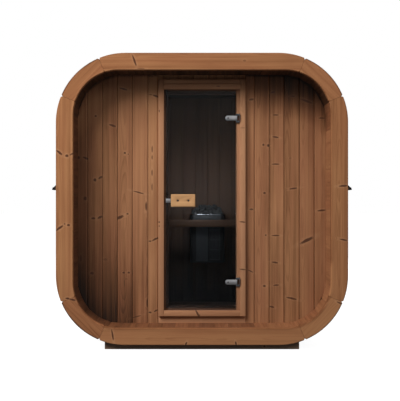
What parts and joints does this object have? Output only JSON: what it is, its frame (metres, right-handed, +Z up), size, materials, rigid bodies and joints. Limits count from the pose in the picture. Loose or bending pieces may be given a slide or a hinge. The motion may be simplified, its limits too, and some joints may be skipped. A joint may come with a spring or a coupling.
{
  "type": "outdoor sauna cabin",
  "caption": "Outdoor sauna cabin of heat-treated wood with a rounded square section, a recessed front wall, a tinted glass door and a stone heater",
  "frame": {"origin": "centre of the footprint at ground level, under the middle of the cabin", "axes": "+X to the right as seen from the front, -Y out of the front where the door is, +Z up"},
  "size_m": [2.148, 1.63, 2.096],
  "materials": {
    "ring_wood": "satin heat-treated spruce",
    "stave_wood": "satin heat-treated spruce",
    "wall_wood": "satin heat-treated spruce",
    "frame_wood": "satin heat-treated spruce",
    "cradle_wood": "matte weathered spruce",
    "handle_wood": "satin",
    "door_glass": "tinted, clear",
    "steel": "brushed",
    "strap_steel": "black coated steel",
    "heater_metal": "satin",
    "stone": "rough stone"
  },
  "bodies": {
    "cabin": {"front_ring_top": "ring_wood", "front_ring_bottom": "ring_wood", "front_ring_left": "ring_wood", "front_ring_right": "ring_wood", "front_ring_corner_top_right": "ring_wood", "front_ring_corner_top_left": "ring_wood", "front_ring_corner_bottom_left": "ring_wood", "front_ring_corner_bottom_right": "ring_wood", "rear_ring_planks": "ring_wood", "rear_ring_corners": "ring_wood", "floor_staves": "stave_wood", "roof_staves": "stave_wood", "left_wall_staves": "stave_wood", "right_wall_staves": "stave_wood", "corner_staves_top_right": "stave_wood", "corner_staves_top_left": "stave_wood", "corner_staves_bottom_left": "stave_wood", "corner_staves_bottom_right": "stave_wood", "front_wall_left": "wall_wood", "front_wall_right": "wall_wood", "front_wall_over_door": "wall_wood", "front_wall_under_door": "wall_wood", "back_wall": "wall_wood", "guard_front_rail": "wall_wood", "guard_side_rails": "wall_wood", "door_latch_jamb": "frame_wood", "door_hinge_jamb": "frame_wood", "door_head": "frame_wood", "door_head_casing": "frame_wood", "door_sill": "frame_wood", "front_cradle": "cradle_wood", "middle_cradle": "cradle_wood", "rear_cradle": "cradle_wood", "hinge_wall_leaves": "steel", "front_strap": "strap_steel", "rear_strap": "strap_steel", "heater_casing": "heater_metal", "heater_bracket": "heater_metal", "heater_stones": "stone"},
    "door": {"door_glass": "door_glass", "outer_handle": "handle_wood", "inner_handle": "handle_wood", "door_latch": "steel", "upper_hinge_clamp": "steel", "lower_hinge_clamp": "steel"}
  },
  "joints": [
    {"name": "door_hinge", "type": "hinge", "parent": "cabin", "child": "door", "pos_m": [0.254, -0.574, 1.062], "axis": [0, 0, 1], "range_deg": [0, 100]}
  ]
}
